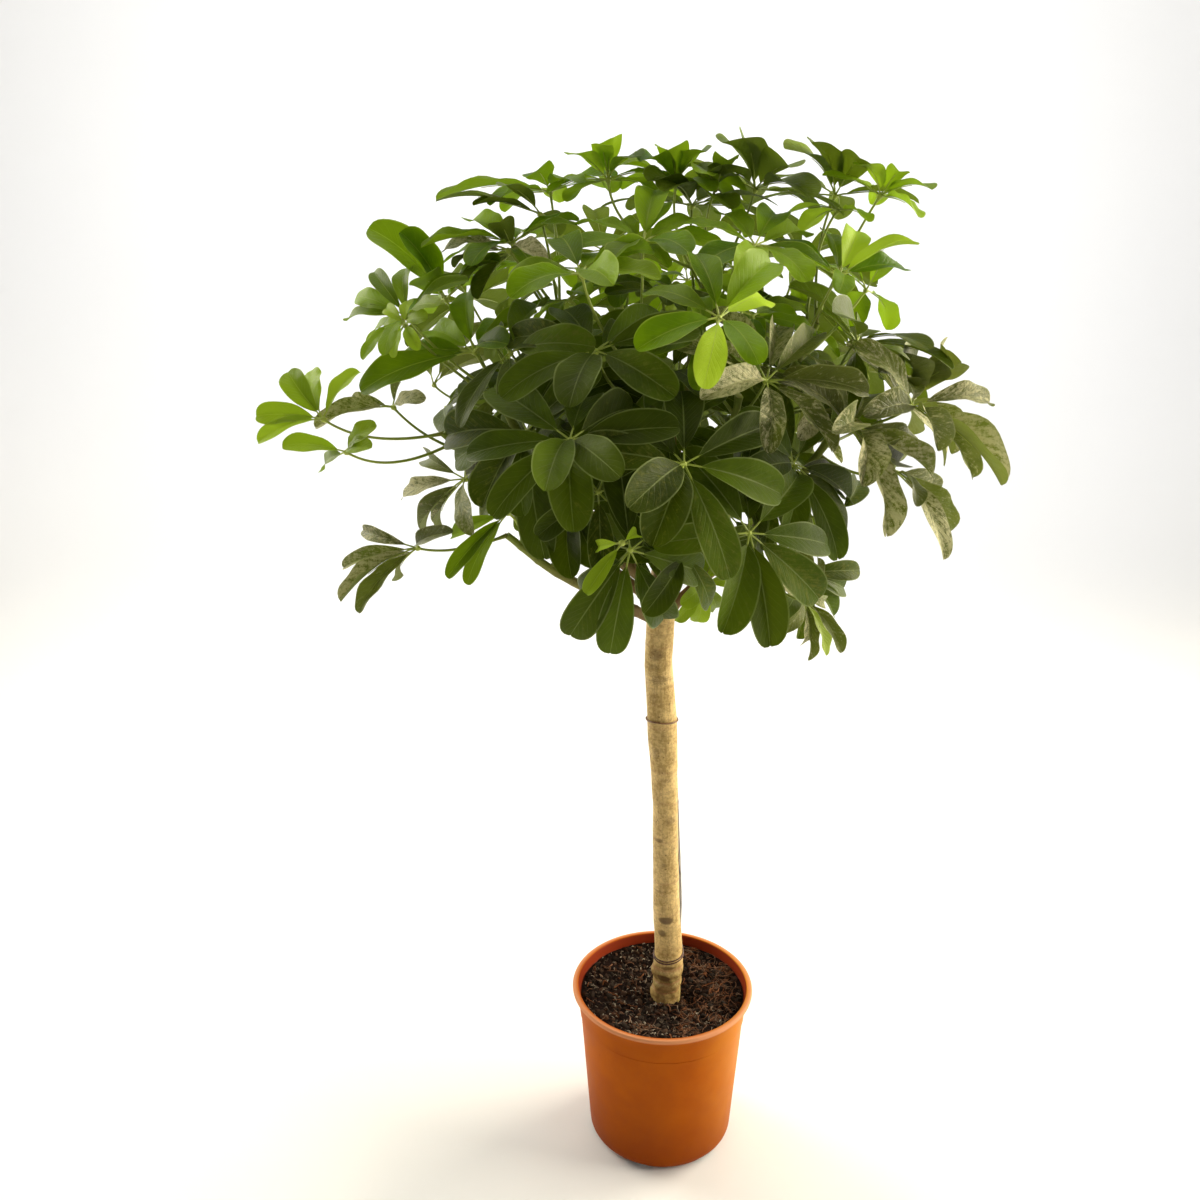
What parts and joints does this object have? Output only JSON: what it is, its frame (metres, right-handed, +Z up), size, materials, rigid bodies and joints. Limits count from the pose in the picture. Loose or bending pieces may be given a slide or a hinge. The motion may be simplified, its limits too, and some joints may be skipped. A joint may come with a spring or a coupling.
{
  "type": "potted umbrella plant",
  "caption": "Umbrella plant grown as a small tree: bare ringed trunk, round crown of whorled glossy leaves, standing in soil in a tapered terracotta-coloured nursery pot.",
  "frame": {"origin": "middle of the pot's flat underside", "axes": "+Z up along the trunk, +Y away from the viewer, +X to the viewer's right"},
  "size_m": [0.6311, 0.5935, 1.0103],
  "materials": {
    "pot_plastic": "thin moulded terracotta-orange polypropylene, satin, with a paler turned lip",
    "potting_soil": "dark moist peat with reddish fibres and pale grit",
    "bark": "pale tan bark with ring scars and dark leaf scars, greener on the young branches",
    "cane": "weathered grey split cane",
    "tie_wire": "thin reddish-brown tie",
    "old_leaf": "waxy dark green blade, pale midrib and margin, grey-olive sheen",
    "dusty_leaf": "green blade under a silvery mottled film of dried water marks",
    "young_leaf": "soft bright yellow-green blade that lets light through"
  },
  "bodies": {
    "root": {"pot": "pot_plastic", "soil": "potting_soil", "trunk": "bark", "support_cane": "cane", "lower_tie": "tie_wire", "upper_tie": "tie_wire", "leaf_low_front_1": "old_leaf", "leaf_low_front_2": "old_leaf", "leaf_low_front_3": "old_leaf", "leaf_low_front_4": "young_leaf", "leaf_low_front_5": "old_leaf", "leaf_front_1": "old_leaf", "leaf_front_2": "old_leaf", "leaf_front_3": "young_leaf", "leaf_front_4": "young_leaf", "leaf_front_5": "old_leaf", "leaf_front_right_1": "young_leaf", "leaf_front_right_2": "dusty_leaf", "leaf_front_right_3": "young_leaf", "leaf_left_1": "old_leaf", "leaf_left_2": "young_leaf", "leaf_left_3": "young_leaf", "leaf_left_4": "young_leaf", "leaf_far_left_1": "young_leaf", "leaf_far_left_2": "young_leaf", "leaf_far_left_3": "dusty_leaf", "leaf_far_left_4": "dusty_leaf", "leaf_low_left_1": "dusty_leaf", "leaf_low_left_2": "young_leaf", "leaf_low_left_3": "old_leaf", "leaf_upper_left_1": "young_leaf", "leaf_upper_left_2": "young_leaf", "leaf_top_1": "young_leaf", "leaf_top_2": "young_leaf", "leaf_top_3": "old_leaf", "leaf_top_4": "old_leaf", "leaf_upper_right_1": "old_leaf", "leaf_upper_right_2": "young_leaf", "leaf_upper_right_3": "young_leaf", "leaf_upper_right_4": "young_leaf", "leaf_right_1": "dusty_leaf", "leaf_right_2": "dusty_leaf", "leaf_right_3": "old_leaf", "leaf_right_4": "dusty_leaf", "leaf_right_5": "old_leaf", "leaf_right_6": "dusty_leaf", "leaf_right_7": "old_leaf", "leaf_right_8": "dusty_leaf", "leaf_back_1": "old_leaf", "leaf_back_2": "old_leaf", "leaf_back_3": "old_leaf", "leaf_back_4": "old_leaf", "leaf_back_left_1": "old_leaf", "leaf_back_left_2": "dusty_leaf", "leaf_back_left_3": "old_leaf", "leaf_back_left_4": "old_leaf", "leaf_back_right_1": "old_leaf", "leaf_back_right_2": "old_leaf", "leaf_back_right_3": "old_leaf", "leaf_back_right_4": "old_leaf"}
  },
  "joints": []
}
